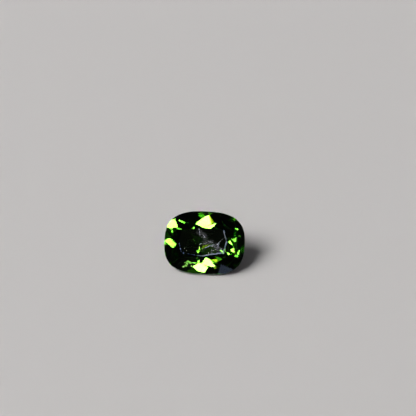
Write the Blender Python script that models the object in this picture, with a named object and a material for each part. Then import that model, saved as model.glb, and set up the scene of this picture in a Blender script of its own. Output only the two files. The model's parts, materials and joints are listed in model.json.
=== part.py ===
"""A chrome diopside gemstone, one crystal cut as a cushion brilliant.

The stone is made the way a lapidary makes it: a block of rough is ground away one flat facet at a time.
It is cut upright in its own frame, with its table up, its length along X, its width along Y and the
middle of its girdle at the origin. It is then laid on the pavilion main that faces -Y, where it rests.
The cut is a hand cut, not a machine's: opposite pavilion mains differ by four to seven degrees, so the
culet is off centre, and its crown is set a little askew. Sizes are in metres and +Z is up.
"""

from math import copysign, cos, pi, radians, sin, tan

import bmesh
import bpy
from mathutils import Matrix, Vector

# Girdle
LENGTH = 0.0090
WIDTH = 0.0071
OUTLINE_POWER = 2.76            # 2 is an ellipse; a higher power is squarer at the corners
OUTLINE_TURN = radians(1.3)     # of the outline, about the table's normal
GIRDLE = 0.00028                # thickness of the thin wall round the widest part

# Crown
CROWN = 0.00179                 # height of the table above the girdle
CROWN_CORNER = radians(40.6)    # where the corner kites stand, from the long axis
CROWN_TURN = radians(2.2)
TABLE_LENGTH = 0.00542
TABLE_WIDTH = 0.00322
TABLE_CORNER = (0.00234, 0.00128)
TABLE_OFFSET = (-0.00007, -0.00004)
STAR_LEVEL = 0.58               # where star and upper girdle facets meet, as a share of the crown

# Pavilion, its mains listed from the one facing -Y and anticlockwise
PAVILION_CORNER = radians(36.1)
PAVILION_SLOPES = (41.6, 30.0, 30.0, 29.3, 35.1, 34.4, 37.3, 34.9)
LOWER_REACH = 0.0016            # how far down the pavilion the lower girdle facets reach

# How the stone lies
TURN = radians(-5.6)            # about the vertical, after it is laid down

# How it is worked
ARC_STEPS = 4                   # flat strips of girdle wall to each upper girdle facet
BLOCK = 1.5 * LENGTH            # side of the cube of rough that the stone is cut from
ON_PLANE = 2e-7                 # a corner this near a cut counts as lying on it


def outline_point(angle):
    """The point of the girdle outline in this direction from the middle."""
    c, s = cos(angle), sin(angle)
    reach = abs(2 * c / LENGTH) ** OUTLINE_POWER + abs(2 * s / WIDTH) ** OUTLINE_POWER
    return Vector((c, s, 0)) * reach ** (-1 / OUTLINE_POWER)


def outline_normal(angle):
    """The direction that the girdle wall faces at that point."""
    p = outline_point(angle)
    x = copysign(abs(2 * p.x / LENGTH) ** (OUTLINE_POWER - 1) / LENGTH, p.x)
    y = copysign(abs(2 * p.y / WIDTH) ** (OUTLINE_POWER - 1) / WIDTH, p.y)
    return Vector((x, y, 0)).normalized()


def plane_through(a, b, c):
    """A facet plane through three points, facing away from the middle of the stone."""
    normal = (b - a).cross(c - a).normalized()
    return (a, normal) if normal.dot(a) > 0 else (a, -normal)


def edge_at_height(first, second, z):
    """The point at height z on the edge where two facets meet."""
    rows = Matrix((first[1], second[1], Vector((0, 0, 1))))
    return rows.inverted() @ Vector((first[1].dot(first[0]), second[1].dot(second[0]), z))


def grind(stone, facet):
    """Cut the stone flat along a facet plane and close it there."""
    point, normal = facet
    parts = stone.verts[:] + stone.edges[:] + stone.faces[:]
    cut = bmesh.ops.bisect_plane(stone, geom=parts, dist=ON_PLANE, plane_co=point, plane_no=normal,
                                 clear_outer=True)
    rim = [item for item in cut["geom_cut"] if isinstance(item, bmesh.types.BMEdge)]
    bmesh.ops.contextual_create(stone, geom=rim)


def eight_ways(corner):
    """Directions of eight mains, from the one facing -Y and anticlockwise."""
    return [-pi / 2, -corner, 0, corner, pi / 2, pi - corner, pi, pi + corner]


def mid_angle(angles, i):
    """The direction halfway between main i and the next one."""
    step = (angles[(i + 1) % 8] - angles[i]) % (2 * pi)
    return angles[i] + step / 2


def half_facets(mains, angles, z_edge, z_girdle):
    """The sixteen facets along the girdle: two between each main and the next."""
    lift = Vector((0, 0, z_girdle))
    facets = []
    for i in range(8):
        j = (i + 1) % 8
        apex = edge_at_height(mains[i], mains[j], z_edge)
        middle = outline_point(mid_angle(angles, i)) + lift
        for k in (i, j):
            facets.append(plane_through(apex, outline_point(angles[k]) + lift, middle))
    return facets


def turned(facets, angle):
    """The same facets turned about the stone's axis."""
    spin = Matrix.Rotation(angle, 3, "Z")
    return [(spin @ point, spin @ normal) for point, normal in facets]


def crown_facets():
    """Table, eight kites, eight stars and sixteen upper girdle facets."""
    angles = eight_ways(CROWN_CORNER)
    cx, cy = TABLE_CORNER
    table_plan = [(0, -TABLE_WIDTH / 2), (cx, -cy), (TABLE_LENGTH / 2, 0), (cx, cy),
                  (0, TABLE_WIDTH / 2), (-cx, cy), (-TABLE_LENGTH / 2, 0), (-cx, -cy)]
    middle = Vector((*TABLE_OFFSET, GIRDLE / 2 + CROWN))
    corners = [middle + Vector((x, y, 0)) for x, y in table_plan]
    kites = []
    for angle, corner in zip(angles, corners):
        foot = outline_point(angle) + Vector((0, 0, GIRDLE / 2))
        along = Vector((0, 0, 1)).cross(outline_normal(angle))
        kites.append(plane_through(foot, foot + along, corner))
    z_star = GIRDLE / 2 + STAR_LEVEL * CROWN
    stars = []
    for i in range(8):
        j = (i + 1) % 8
        stars.append(plane_through(corners[i], corners[j], edge_at_height(kites[i], kites[j], z_star)))
    table = (middle, Vector((0, 0, 1)))
    return [table] + kites + stars + half_facets(kites, angles, z_star, GIRDLE / 2)


def pavilion_facets():
    """Eight mains down to the culet and sixteen lower girdle facets."""
    angles = eight_ways(PAVILION_CORNER)
    mains = []
    for angle, degrees in zip(angles, PAVILION_SLOPES):
        slope = radians(degrees)
        foot = outline_point(angle) - Vector((0, 0, GIRDLE / 2))
        mains.append((foot, outline_normal(angle) * sin(slope) - Vector((0, 0, cos(slope)))))
    return mains + half_facets(mains, angles, -GIRDLE / 2 - LOWER_REACH, -GIRDLE / 2)


def girdle_wall():
    """The narrow upright strips that follow the outline."""
    angles = eight_ways(PAVILION_CORNER)
    strips = []
    for i in range(8):
        span = 2 * (mid_angle(angles, i) - angles[i])
        for k in range(2 * ARC_STEPS):
            angle = angles[i] + span * k / (2 * ARC_STEPS)
            strips.append((outline_point(angle), outline_normal(angle)))
    return strips


def cut_stone():
    """The finished stone as a mesh, in its own upright frame."""
    stone = bmesh.new()
    bmesh.ops.create_cube(stone, size=BLOCK)
    facets = turned(girdle_wall(), OUTLINE_TURN) + turned(crown_facets(), CROWN_TURN) + pavilion_facets()
    for facet in facets:
        grind(stone, facet)
    bmesh.ops.remove_doubles(stone, verts=stone.verts, dist=ON_PLANE)
    bmesh.ops.dissolve_degenerate(stone, dist=ON_PLANE, edges=stone.edges)
    bmesh.ops.recalc_face_normals(stone, faces=stone.faces)
    mesh = bpy.data.meshes.new("stone")
    stone.to_mesh(mesh)
    stone.free()
    return mesh


def polished_diopside():
    """Deep green, glassy and clear."""
    material = bpy.data.materials.new("polished_chrome_diopside")
    material.use_nodes = True
    shader = material.node_tree.nodes["Principled BSDF"]
    shader.inputs["Base Color"].default_value = (0.004, 0.075, 0.012, 1)
    shader.inputs["Roughness"].default_value = 0.03
    shader.inputs["Metallic"].default_value = 0.0
    shader.inputs["IOR"].default_value = 1.68
    shader.inputs["Transmission Weight"].default_value = 1.0
    return material


def lay_down(gem):
    """Tip the stone on to its -Y pavilion main, turn it, and stand it over the origin."""
    gem.rotation_mode = "XYZ"
    gem.rotation_euler = (radians(PAVILION_SLOPES[0]), 0, TURN)
    tipped = gem.rotation_euler.to_matrix()
    corners = [tipped @ vertex.co for vertex in gem.data.vertices]
    low = [min(corner[axis] for corner in corners) for axis in range(3)]
    high = [max(corner[axis] for corner in corners) for axis in range(3)]
    gem.location = (-(low[0] + high[0]) / 2, -(low[1] + high[1]) / 2, -low[2])


def build():
    for old in list(bpy.data.objects):
        bpy.data.objects.remove(old)
    group = bpy.data.collections.new("chrome_diopside")
    bpy.context.scene.collection.children.link(group)
    gem = bpy.data.objects.new("stone", cut_stone())
    gem.data.materials.append(polished_diopside())
    group.objects.link(gem)
    lay_down(gem)
    return gem


build()
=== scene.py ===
"""Looks of a loose chrome diopside, a cushion brilliant that lies on a pale studio floor.

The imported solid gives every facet. Its edges are worn round and nicked here, its girdle is left finely
ground, and the whole stone gets one clear green material that bends and swallows light as diopside does.
The stone is worked on in millimetres and scaled to metres at the end.
"""
import json
from math import atan, atan2, cos, degrees, pi, radians, sin, tan

import bmesh
import bpy
from mathutils import Matrix, Vector


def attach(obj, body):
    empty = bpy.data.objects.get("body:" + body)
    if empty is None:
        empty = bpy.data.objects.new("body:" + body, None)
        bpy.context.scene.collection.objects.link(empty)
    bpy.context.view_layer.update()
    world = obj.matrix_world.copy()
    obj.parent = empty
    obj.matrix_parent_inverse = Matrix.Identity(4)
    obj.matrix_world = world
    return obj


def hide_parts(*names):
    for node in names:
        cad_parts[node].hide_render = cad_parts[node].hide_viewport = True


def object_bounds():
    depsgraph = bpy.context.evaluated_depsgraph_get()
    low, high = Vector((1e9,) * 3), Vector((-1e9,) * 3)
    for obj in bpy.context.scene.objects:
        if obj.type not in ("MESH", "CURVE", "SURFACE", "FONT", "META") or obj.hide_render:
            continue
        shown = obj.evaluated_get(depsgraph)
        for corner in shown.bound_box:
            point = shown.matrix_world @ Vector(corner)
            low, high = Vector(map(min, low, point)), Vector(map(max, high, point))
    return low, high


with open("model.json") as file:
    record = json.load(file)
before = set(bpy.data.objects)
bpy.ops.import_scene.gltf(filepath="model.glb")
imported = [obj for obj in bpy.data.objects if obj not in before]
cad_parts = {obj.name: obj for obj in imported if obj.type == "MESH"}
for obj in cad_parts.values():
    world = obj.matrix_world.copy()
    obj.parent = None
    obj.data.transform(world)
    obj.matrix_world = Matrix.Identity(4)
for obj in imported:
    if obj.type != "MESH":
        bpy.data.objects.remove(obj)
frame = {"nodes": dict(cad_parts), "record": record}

CAD_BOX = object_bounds()
MM = 0.001

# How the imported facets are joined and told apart: corners nearer than this many millimetres are one,
# faces within this angle are one facet, and a facet's own normal says whether it is table or girdle
SAME_CORNER = 1e-4
SAME_FACET = radians(0.05)
FACES_UP = 0.999
FACES_SIDEWAYS = 0.02

# The photograph's width, its scale, and where in it the middle of the stone lies
FRAME_PIXELS = 416
PIXELS_PER_MM = 8.94
STONE_PIXEL = (204.6, 242.8)

# The camera's angle above the horizon, and its long lens
CAMERA_ELEVATION = radians(43.3)
LENS_MM = 340.0
SENSOR_MM = 36.0

# Widths of the rounded facet edges, in millimetres
EDGE_WIDTH = {"table": 0.022, "crown": 0.012, "girdle": 0.02, "pavilion": 0.01}

# The ground chamfer along the front of the girdle: its width, and where it starts and ends
# in degrees round the table
CHAMFER = 0.11
CHAMFER_REACH = (-142, -58)

# The table's nicked rim, in degrees round the table: the hard-worn stretch, and the one to its left
HARD_WORN = (-95, 40)
LIGHTLY_WORN = (-170, -95)

# The shape of a nick: the least and most that one axis is stretched, and how rare the large ones are
NICK_STRETCH = (0.6, 1.7)
MOSTLY_SMALL = 3.0

# How the finish of a face scatters light: 0 is polished glass, 1 is a wholly matt surface
SCATTER = {"facet": 0.0, "edge": 0.08, "girdle": 0.75, "nick": 0.7}

# How fast a face loses clearness and takes on a colour as it scatters more light, and the two colours
CLEARNESS_LOST = 1.3
COLOUR_GAINED = 1.8
WORN_BLUE = "#93a9e6"
GROUND_GREY = "#87938c"

# Diopside's refractive index, and its body, which swallows blue most and green least, per metre
BENDING = 1.68
BODY_GREEN = (0.32, 0.6, 0.06, 1)
BODY_DENSITY = 500.0

# The scuffs' outlines wander to either side, in millimetres. Both that and the speckle that breaks them
# up are noise of so many waves to a millimetre, and the speckle is stretched and cut to leave gaps
WANDER = 0.12
WANDER_WAVES = 9.0
SPECKLE_WAVES = 22.0
SPECKLE_STRETCH = 2.6
SPECKLE_CUT = 0.7

# How far down over the table's rounded rim a scuff reaches, in millimetres
RIM_DEPTH = 0.02

# Scuffs on the table in millimetres from its middle, along and across it, as start, end, half width
# and strength: three wide smudges, fine scratches, and the worn line of the front and right rim
SCUFFS = (
    ((-0.35, 1.10), (0.25, 0.50), 0.42, 0.10),
    ((0.20, -0.10), (1.00, -0.05), 0.38, 0.10),
    ((1.30, -0.40), (1.80, -0.90), 0.45, 0.12),
    ((-0.38, 1.40), (-0.38, 0.80), 0.13, 0.30),
    ((0.10, 0.70), (0.22, 0.45), 0.10, 0.30),
    ((-0.35, -0.25), (0.30, -0.22), 0.08, 0.28),
    ((0.60, 0.05), (1.05, -0.05), 0.09, 0.28),
    ((-0.20, -0.85), (0.35, -0.62), 0.06, 0.42),
    ((0.35, -0.62), (1.25, -0.32), 0.07, 0.50),
    ((1.80, -0.25), (1.55, -0.85), 0.10, 0.45),
    ((2.25, 0.35), (1.25, -0.60), 0.05, 0.35),
    ((1.00, -0.90), (0.95, -1.40), 0.12, 0.32),
    ((2.05, -0.80), (2.20, -1.10), 0.12, 0.40),
    ((1.10, -1.35), (1.70, -1.40), 0.07, 0.30),
    ((0.00, -1.56), (2.28, -1.25), 0.10, 0.80),
    ((2.28, -1.25), (2.64, 0.00), 0.09, 0.75),
    ((2.64, 0.00), (2.36, 1.10), 0.07, 0.60),
)

# The paper floor and the softboxes, in metres, and their colours
PAPER = "#d2cfcd"
FLOOR_SIZE = 20.0
LAMP_DISTANCE = 3.0
WHITE = "#ffffff"
DAYLIGHT = "#fffff0"
WARM = "#ffb659"
GREENISH = "#c8ff90"
PAPER_BLUE = "#bcd4ff"

# The studio's walls: mirrored in the stone or seen through it, and as the camera and the paper see them
DARK_WALLS = (0.005, 0.005, 0.006, 1)
PALE_WALLS = (0.09, 0.09, 0.095, 1)

# How often a ray may bounce in all, and how often off or through the stone's faces
MOST_BOUNCES = 24
STONE_BOUNCES = 20


def linear(hex_colour):
    """An sRGB hex colour as linear red, green and blue with alpha 1."""
    channels = [int(hex_colour[i:i + 2], 16) / 255 for i in (1, 3, 5)]
    return (*[c / 12.92 if c <= 0.04045 else ((c + 0.055) / 1.055) ** 2.4 for c in channels], 1.0)


def add_node(tree, kind, links=(), **settings):
    """One node with its settings, and its inputs set or linked by socket name or number."""
    node = tree.nodes.new(kind)
    for name, value in settings.items():
        setattr(node, name, value)
    for socket, value in dict(links).items():
        if isinstance(value, bpy.types.NodeSocket):
            tree.links.new(value, node.inputs[socket])
        else:
            node.inputs[socket].default_value = value
    return node


def new_material(name):
    """An empty node material and its tree."""
    material = bpy.data.materials.new(name)
    material.use_nodes = True
    material.node_tree.nodes.clear()
    return material, material.node_tree


def placed(name, data):
    """A new object at the origin, in the scene."""
    thing = bpy.data.objects.new(name, data)
    bpy.context.scene.collection.objects.link(thing)
    return thing


def finished_mesh(thing):
    """The object's mesh with its modifiers worked into it."""
    return bpy.data.meshes.new_from_object(thing.evaluated_get(bpy.context.evaluated_depsgraph_get()))


# The table's own directions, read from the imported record
TABLE = next(mount for mount in frame["record"]["mounts"] if mount["name"] == "table")
TABLE_UP = Vector(TABLE["axis"]).normalized()
TABLE_MIDDLE = Vector(TABLE["pos_m"]) / MM
TABLE_ALONG = (Vector((1, 0, 0)) - TABLE_UP * TABLE_UP.x).normalized()
TABLE_ACROSS = TABLE_UP.cross(TABLE_ALONG)

# Markers that tell the finishes apart while the stone is worked on
FINISHES = tuple(SCATTER)
FINISH_MARKS = {finish: bpy.data.materials.new("finish_" + finish) for finish in FINISHES}


def clean_facets():
    """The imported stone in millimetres, its loose triangles joined back into flat facets, and the front
    of its girdle chamfered."""
    facets = bmesh.new()
    facets.from_mesh(frame["nodes"]["stone"].data)
    bmesh.ops.scale(facets, vec=(1 / MM,) * 3, verts=facets.verts)
    bmesh.ops.remove_doubles(facets, verts=facets.verts, dist=SAME_CORNER)
    bmesh.ops.dissolve_limit(facets, angle_limit=SAME_FACET, verts=facets.verts, edges=facets.edges)
    front = [edge for edge in facets.edges if chamfered(edge)]
    bmesh.ops.bevel(facets, geom=front, offset=CHAMFER, segments=1, profile=0.5, affect="EDGES",
                    material=FINISHES.index("girdle"))
    return facets


def kind_of(face):
    """What a facet is, from the way it faces: table, crown, girdle or pavilion."""
    up = face.normal.dot(TABLE_UP)
    if up > FACES_UP:
        return "table"
    if abs(up) < FACES_SIDEWAYS:
        return "girdle"
    return "crown" if up > 0 else "pavilion"


def edge_kind(edge):
    """An edge is named for its more exposed side. The girdle's own upright edges stay as they are."""
    kinds = {kind_of(face) for face in edge.link_faces}
    if kinds == {"girdle"}:
        return None
    return next(kind for kind in ("table", "girdle", "crown", "pavilion") if kind in kinds)


def direction_round_table(point):
    """Degrees round the table's middle, 0 along it and -90 towards the front."""
    out = point - TABLE_MIDDLE
    return degrees(atan2(out.dot(TABLE_ACROSS), out.dot(TABLE_ALONG)))


def middle_of(edge):
    """The point halfway along an edge."""
    return (edge.verts[0].co + edge.verts[1].co) / 2


def chamfered(edge):
    """The edge between crown and girdle, along the front of the stone."""
    if {kind_of(face) for face in edge.link_faces} != {"crown", "girdle"}:
        return False
    return CHAMFER_REACH[0] < direction_round_table(middle_of(edge)) < CHAMFER_REACH[1]


def table_rim(edge, reach):
    """The table's rim, from one direction round it to another."""
    return edge_kind(edge) == "table" and reach[0] < direction_round_table(middle_of(edge)) < reach[1]


def hard_worn_rim(edge):
    """The rim from the middle of the table's front to its right end, where it is worn hard."""
    return table_rim(edge, HARD_WORN)


def lightly_worn_rim(edge):
    """The next stretch to the left, where the rim has only a few small nicks."""
    return table_rim(edge, LIGHTLY_WORN)


def girdle_rim(edge):
    """The edges above and below the girdle."""
    return edge_kind(edge) == "girdle"


def rounded_stone(facets):
    """The stone with every facet edge rounded by its own small width, and its girdle marked."""
    weight = facets.edges.layers.float.new("bevel_weight_edge")
    widest = max(EDGE_WIDTH.values())
    for edge in facets.edges:
        kind = edge_kind(edge)
        edge[weight] = EDGE_WIDTH[kind] / widest if kind else 0.0
    for face in facets.faces:
        if kind_of(face) == "girdle":
            face.material_index = FINISHES.index("girdle")
    mesh = bpy.data.meshes.new("polished_stone")
    facets.to_mesh(mesh)
    for finish in FINISHES:
        mesh.materials.append(FINISH_MARKS[finish])
    stone = placed("polished_stone", mesh)
    bevel = stone.modifiers.new("rounded_edges", "BEVEL")
    bevel.width = widest
    bevel.segments = 2
    bevel.limit_method = "WEIGHT"
    bevel.material = FINISHES.index("edge")
    return stone


def edge_lines(facets, wanted, name):
    """A wire of the facet edges that pass a test."""
    wire = bmesh.new()
    corners = {}
    for edge in facets.edges:
        if wanted(edge):
            for vertex in edge.verts:
                if vertex not in corners:
                    corners[vertex] = wire.verts.new(vertex.co)
            wire.edges.new([corners[vertex] for vertex in edge.verts])
    mesh = bpy.data.meshes.new(name)
    wire.to_mesh(mesh)
    wire.free()
    return placed(name, mesh)


def nick_tree():
    """Small angular bites strung along a wire: the cutters for nicked facet edges."""
    tree = bpy.data.node_groups.new("nicks_along_edge", "GeometryNodeTree")
    interface = tree.interface
    interface.new_socket("Wire", in_out="INPUT", socket_type="NodeSocketGeometry")
    for name in ("Spacing", "Smallest", "Largest", "Scatter", "Share"):
        interface.new_socket(name, in_out="INPUT", socket_type="NodeSocketFloat")
    interface.new_socket("Seed", in_out="INPUT", socket_type="NodeSocketInt")
    interface.new_socket("Bites", in_out="OUTPUT", socket_type="NodeSocketGeometry")
    given = add_node(tree, "NodeGroupInput").outputs
    line = add_node(tree, "GeometryNodeMeshToCurve", {"Mesh": given["Wire"]})
    beads = add_node(tree, "GeometryNodeResampleCurve", {
        "Curve": line.outputs[0], "Length": given["Spacing"]}, mode="LENGTH")
    off_low = add_node(tree, "ShaderNodeMath", {0: given["Scatter"], 1: -1.0}, operation="MULTIPLY")
    low = add_node(tree, "ShaderNodeCombineXYZ", {i: off_low.outputs[0] for i in range(3)})
    high = add_node(tree, "ShaderNodeCombineXYZ", {i: given["Scatter"] for i in range(3)})
    off = add_node(tree, "FunctionNodeRandomValue", {
        0: low.outputs[0], 1: high.outputs[0], "Seed": given["Seed"]}, data_type="FLOAT_VECTOR")
    loose = add_node(tree, "GeometryNodeSetPosition", {
        "Geometry": beads.outputs[0], "Offset": off.outputs[0]})
    bite = add_node(tree, "GeometryNodeMeshIcoSphere", {"Radius": 1.0, "Subdivisions": 1})
    chance = add_node(tree, "FunctionNodeRandomValue", {"Seed": given["Seed"]}, data_type="FLOAT").outputs[1]
    mostly_small = add_node(tree, "ShaderNodeMath", {0: chance, 1: MOSTLY_SMALL}, operation="POWER")
    size = add_node(tree, "ShaderNodeMapRange", {
        "Value": mostly_small.outputs[0], "To Min": given["Smallest"], "To Max": given["Largest"]})
    least, most = NICK_STRETCH
    shape = add_node(tree, "FunctionNodeRandomValue", {
        0: (least,) * 3, 1: (most,) * 3, "Seed": given["Seed"]}, data_type="FLOAT_VECTOR")
    scale = add_node(tree, "ShaderNodeVectorMath", {0: shape.outputs[0], "Scale": size.outputs[0]},
                     operation="SCALE")
    turn = add_node(tree, "FunctionNodeRandomValue", {1: (2 * pi,) * 3, "Seed": given["Seed"]},
                    data_type="FLOAT_VECTOR")
    kept = add_node(tree, "FunctionNodeRandomValue", {"Probability": given["Share"], "Seed": given["Seed"]},
                    data_type="BOOLEAN")
    strung = add_node(tree, "GeometryNodeInstanceOnPoints", {
        "Points": loose.outputs[0], "Selection": kept.outputs[3], "Instance": bite.outputs[0],
        "Scale": scale.outputs[0], "Rotation": turn.outputs[0]})
    solid = add_node(tree, "GeometryNodeRealizeInstances", {0: strung.outputs[0]})
    marked = add_node(tree, "GeometryNodeSetMaterial", {
        "Geometry": solid.outputs[0], "Material": FINISH_MARKS["nick"]})
    add_node(tree, "NodeGroupOutput", {"Bites": marked.outputs[0]})
    return tree


def nick(stone, wire, tree, **values):
    """Bite small nicks out of the stone along a wire."""
    strung = wire.modifiers.new("nicks", "NODES")
    strung.node_group = tree
    sockets = {item.name: item.identifier for item in tree.interface.items_tree if item.in_out == "INPUT"}
    for name, value in values.items():
        strung[sockets[name]] = value
    wire.data = finished_mesh(wire)
    wire.modifiers.clear()
    cut = stone.modifiers.new("nicked", "BOOLEAN")
    cut.operation = "DIFFERENCE"
    cut.solver = "MANIFOLD"
    cut.material_mode = "TRANSFER"
    cut.object = wire
    stone.data = finished_mesh(stone)
    stone.modifiers.clear()
    bpy.data.objects.remove(wire)


def drop_crumbs(stone):
    """Keep the stone and delete the loose splinters that the nicks leave."""
    mesh = bmesh.new()
    mesh.from_mesh(stone.data)
    waiting = set(mesh.verts)
    pieces = []
    while waiting:
        piece = {waiting.pop()}
        edge_of_piece = list(piece)
        while edge_of_piece:
            vertex = edge_of_piece.pop()
            near = {edge.other_vert(vertex) for edge in vertex.link_edges} & waiting
            waiting -= near
            piece |= near
            edge_of_piece += near
        pieces.append(piece)
    pieces.sort(key=len)
    crumbs = [vertex for piece in pieces[:-1] for vertex in piece]
    bmesh.ops.delete(mesh, geom=crumbs, context="VERTS")
    mesh.to_mesh(stone.data)
    mesh.free()


def mark_finish(stone):
    """Write each face's scatter, and whether it is ground girdle, then clear the marker slots and set every
    face to the first slot.
    """
    mesh = stone.data
    names = [slot.name.removeprefix("finish_") for slot in mesh.materials]
    finishes = [names[face.material_index] for face in mesh.polygons]
    scatter = mesh.attributes.new("scatter", "FLOAT", "FACE")
    scatter.data.foreach_set("value", [SCATTER[finish] for finish in finishes])
    ground = mesh.attributes.new("ground", "FLOAT", "FACE")
    ground.data.foreach_set("value", [float(finish == "girdle") for finish in finishes])
    for face in mesh.polygons:
        face.material_index = 0
    mesh.materials.clear()


def table_place(tree):
    """Millimetres along and across the table, and above it, as node sockets."""
    spot = add_node(tree, "ShaderNodeTexCoord").outputs["Object"]
    away = add_node(tree, "ShaderNodeVectorMath", {0: spot, 1: TABLE_MIDDLE * MM}, operation="SUBTRACT")
    grown = add_node(tree, "ShaderNodeVectorMath", {0: away.outputs[0], "Scale": 1 / MM}, operation="SCALE")
    ways = [add_node(tree, "ShaderNodeVectorMath", {0: grown.outputs[0], 1: way}, operation="DOT_PRODUCT")
            for way in (TABLE_ALONG, TABLE_ACROSS, TABLE_UP)]
    return grown.outputs[0], [way.outputs["Value"] for way in ways]


def calc(tree, operation, first, second=0.0, third=0.0, clamp=False):
    """One Math node's result."""
    return add_node(tree, "ShaderNodeMath", {0: first, 1: second, 2: third}, operation=operation,
                    use_clamp=clamp).outputs[0]


def distance_to_stroke(tree, flat, start, end):
    """How far a point on the table is from the line between two others."""
    first = Vector((*start, 0))
    line = Vector((*end, 0)) - first
    out = add_node(tree, "ShaderNodeVectorMath", {0: flat, 1: first}, operation="SUBTRACT").outputs[0]
    along = add_node(tree, "ShaderNodeVectorMath", {0: out, 1: line / line.length_squared},
                     operation="DOT_PRODUCT").outputs["Value"]
    share = calc(tree, "MULTIPLY", along, 1.0, clamp=True)
    nearest = add_node(tree, "ShaderNodeVectorMath", {0: line, "Scale": share}, operation="SCALE").outputs[0]
    return add_node(tree, "ShaderNodeVectorMath", {0: out, 1: nearest}, operation="DISTANCE").outputs["Value"]


def scuffed_table(tree):
    """Soft worn strokes on the table, broken up by a fine grain. The result is 0 to 1."""
    spot, (along, across, height) = table_place(tree)
    flat = add_node(tree, "ShaderNodeCombineXYZ", {"X": along, "Y": across}).outputs[0]
    grain = add_node(tree, "ShaderNodeTexNoise", {
        "Vector": spot, "Scale": WANDER_WAVES, "Detail": 3.0}).outputs[0]
    wander = calc(tree, "MULTIPLY_ADD", grain, 2 * WANDER, -WANDER)
    marks = 0.0
    for start, end, half_width, strength in SCUFFS:
        off = calc(tree, "ADD", distance_to_stroke(tree, flat, start, end), wander)
        stroke = add_node(tree, "ShaderNodeMapRange", {
            "Value": off, "From Min": half_width, "From Max": 0.0, "To Min": 0.0, "To Max": strength},
            interpolation_type="SMOOTHSTEP").outputs[0]
        marks = calc(tree, "MAXIMUM", marks, stroke)
    speckle = add_node(tree, "ShaderNodeTexNoise", {
        "Vector": spot, "Scale": SPECKLE_WAVES, "Detail": 2.0}).outputs[0]
    gaps = calc(tree, "MULTIPLY_ADD", speckle, SPECKLE_STRETCH, -SPECKLE_CUT, clamp=True)
    broken = calc(tree, "MULTIPLY", marks, gaps)
    on_table = calc(tree, "GREATER_THAN", height, -RIM_DEPTH)
    return calc(tree, "MULTIPLY", broken, on_table)


def polished_diopside():
    """Chrome diopside, cut and polished: clear, glassy, and so deep a green that it is nearly black.
    Where it is nicked or scuffed, the broken surface scatters light and looks bluish white, and the
    ground girdle is matt and grey."""
    material, tree = new_material("polished_chrome_diopside")
    finish = add_node(tree, "ShaderNodeAttribute", attribute_name="scatter").outputs["Fac"]
    scatter = calc(tree, "MAXIMUM", finish, scuffed_table(tree))
    rough = calc(tree, "MULTIPLY", scatter, scatter)
    clear = calc(tree, "MULTIPLY_ADD", scatter, -CLEARNESS_LOST, 1.0, clamp=True)
    worn = add_node(tree, "ShaderNodeMix", {
        "Factor": calc(tree, "MULTIPLY", scatter, COLOUR_GAINED, clamp=True),
        6: linear(WHITE), 7: linear(WORN_BLUE)}, data_type="RGBA").outputs[2]
    ground = add_node(tree, "ShaderNodeAttribute", attribute_name="ground").outputs["Fac"]
    tint = add_node(tree, "ShaderNodeMix", {"Factor": ground, 6: worn, 7: linear(GROUND_GREY)},
                    data_type="RGBA").outputs[2]
    glass = add_node(tree, "ShaderNodeBsdfPrincipled", {
        "Base Color": tint, "Specular Tint": tint, "Roughness": rough, "IOR": BENDING,
        "Transmission Weight": clear})
    body = add_node(tree, "ShaderNodeVolumeAbsorption", {
        "Color": BODY_GREEN, "Density": BODY_DENSITY})
    add_node(tree, "ShaderNodeOutputMaterial", {"Surface": glass.outputs[0], "Volume": body.outputs[0]})
    return material


def dress_stone():
    """The stone that stands for the CAD one: rounded, nicked and finished."""
    facets = clean_facets()
    tree = nick_tree()
    hard = edge_lines(facets, hard_worn_rim, "worn_front")
    light = edge_lines(facets, lightly_worn_rim, "worn_left")
    rim = edge_lines(facets, girdle_rim, "worn_girdle")
    stone = rounded_stone(facets)
    facets.free()
    nick(stone, hard, tree, Spacing=0.028, Smallest=0.018, Largest=0.075, Scatter=0.016, Share=0.9, Seed=3)
    nick(stone, light, tree, Spacing=0.06, Smallest=0.01, Largest=0.1, Scatter=0.02, Share=0.35, Seed=5)
    nick(stone, rim, tree, Spacing=0.2, Smallest=0.01, Largest=0.07, Scatter=0.02, Share=0.4, Seed=8)
    drop_crumbs(stone)
    mark_finish(stone)
    stone.data.materials.append(polished_diopside())
    stone.data.transform(Matrix.Scale(MM, 4))
    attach(stone, "root")
    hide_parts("stone")


def pale_floor():
    """Matt pale grey, like seamless studio paper. The stone mirrors the dark of the studio instead of it."""
    material, tree = new_material("matt_pale_paper")
    paper = add_node(tree, "ShaderNodeBsdfPrincipled", {
        "Base Color": linear(PAPER), "Roughness": 0.9, "Specular IOR Level": 0.0})
    add_node(tree, "ShaderNodeOutputMaterial", {"Surface": paper.outputs[0]})
    bpy.ops.mesh.primitive_plane_add(size=FLOOR_SIZE)
    floor = bpy.context.object
    floor.name = "floor"
    floor.data.materials.append(material)
    floor.visible_glossy = False
    floor.visible_transmission = False


def toward(azimuth, elevation):
    """The direction of a light. Azimuth 0 is +X and 90 is +Y."""
    return Vector((cos(elevation) * cos(azimuth), cos(elevation) * sin(azimuth), sin(elevation)))


def softbox(name, azimuth, elevation, half_angle, radiance, colour=DAYLIGHT, seen="through stone"):
    """A round softbox that looks half_angle wide from the stone. It is seen through the stone, or it is
    mirrored by the facets, or it lights the paper and the worn places."""
    lamp = bpy.data.lights.new(name, "AREA")
    lamp.shape = "DISK"
    lamp.color = linear(colour)[:3]
    lamp.size = 2 * LAMP_DISTANCE * tan(radians(half_angle))
    lamp.energy = radiance * pi * pi * lamp.size ** 2 / 4
    way = toward(radians(azimuth), radians(elevation))
    holder = placed(name, lamp)
    holder.location = way * LAMP_DISTANCE
    holder.rotation_euler = way.to_track_quat("Z", "Y").to_euler()
    holder.visible_camera = False
    holder.visible_diffuse = seen == "on paper"
    holder.visible_glossy = seen == "mirrored"
    holder.visible_transmission = seen == "through stone"


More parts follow.
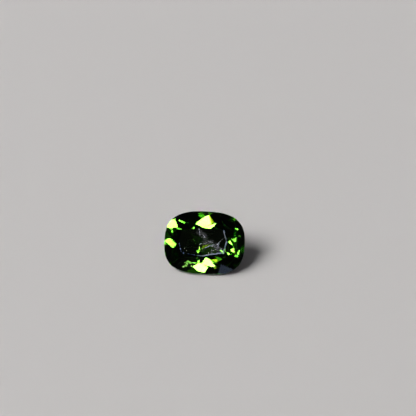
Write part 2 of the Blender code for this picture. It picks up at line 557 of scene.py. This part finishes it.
def studio():
    """A dark studio for the stone to mirror, pale for the camera and for the paper, and its softboxes.
    Those that are seen through the stone make the flashes in it, and the two warm ones, each round a
    brighter one, give their flashes a yellower border."""
    world = bpy.data.worlds.new("dim_studio")
    world.use_nodes = True
    tree = world.node_tree
    tree.nodes.clear()
    path = add_node(tree, "ShaderNodeLightPath").outputs
    open_view = calc(tree, "MAXIMUM", path["Is Camera Ray"], path["Is Diffuse Ray"])
    shade = add_node(tree, "ShaderNodeMix", {"Factor": open_view, 6: DARK_WALLS, 7: PALE_WALLS},
                     data_type="RGBA")
    light = add_node(tree, "ShaderNodeBackground", {"Color": shade.outputs[2]})
    add_node(tree, "ShaderNodeOutputWorld", {"Surface": light.outputs[0]})
    bpy.context.scene.world = world
    softbox("key_on_paper", 192, 50, 18, 10.0, WHITE, seen="on paper")
    softbox("lit_paper", -73, -42.5, 8, 0.5, PAPER_BLUE, seen="mirrored")
    softbox("overhead_right", -23, 66, 12, 120)
    softbox("overhead_front", -113, 68, 5, 240)
    softbox("overhead_glow", -114, 66, 9, 14, WARM)
    softbox("key", -153, 46, 5, 240)
    softbox("key_glow", -153, 46, 8.5, 14, WARM)
    softbox("front_high", -117, 62, 8, 120)
    softbox("front_right", -74, 49, 3.5, 40)
    softbox("front_low", -81.3, 26, 13, 15)
    softbox("front_dim", -85, 38, 17, 0.25, GREENISH)
    softbox("front_left", -103, 45, 4, 100)
    softbox("front_small", -106, 63, 4, 60)
    softbox("left_low", -167, 13, 5, 100)
    softbox("left_dim", -170, 32, 8, 2.0, GREENISH)
    softbox("back_wide", 141, 33, 17, 0.6)
    softbox("back_low", 162, 16, 3, 60)


def camera():
    """A long lens from the photograph's height, turned so that the stone stands where the photo has it."""
    middle = (CAD_BOX[0] + CAD_BOX[1]) / 2
    distance = LENS_MM / SENSOR_MM * FRAME_PIXELS / PIXELS_PER_MM * MM
    away = Vector((0, -cos(CAMERA_ELEVATION), sin(CAMERA_ELEVATION)))
    data = bpy.data.cameras.new("camera")
    data.lens = LENS_MM
    data.sensor_width = SENSOR_MM
    data.clip_start = MM
    holder = placed("camera", data)
    holder.location = middle + away * distance
    step = SENSOR_MM / LENS_MM / FRAME_PIXELS
    across = atan((FRAME_PIXELS / 2 - STONE_PIXEL[0]) * step)
    down = atan((STONE_PIXEL[1] - FRAME_PIXELS / 2) * step)
    turned = away.to_track_quat("Z", "Y").to_matrix().to_4x4()
    turned = turned @ Matrix.Rotation(-across, 4, "Y") @ Matrix.Rotation(down, 4, "X")
    holder.rotation_euler = turned.to_euler()
    bpy.context.scene.camera = holder


def light_paths():
    """Enough bounces for light to leave the stone, and no caustics on the paper."""
    scene = bpy.context.scene
    scene.view_settings.view_transform = "Standard"
    scene.cycles.max_bounces = MOST_BOUNCES
    scene.cycles.glossy_bounces = STONE_BOUNCES
    scene.cycles.transmission_bounces = STONE_BOUNCES
    scene.cycles.caustics_reflective = False
    scene.cycles.caustics_refractive = False


camera()
studio()
pale_floor()
dress_stone()
light_paths()
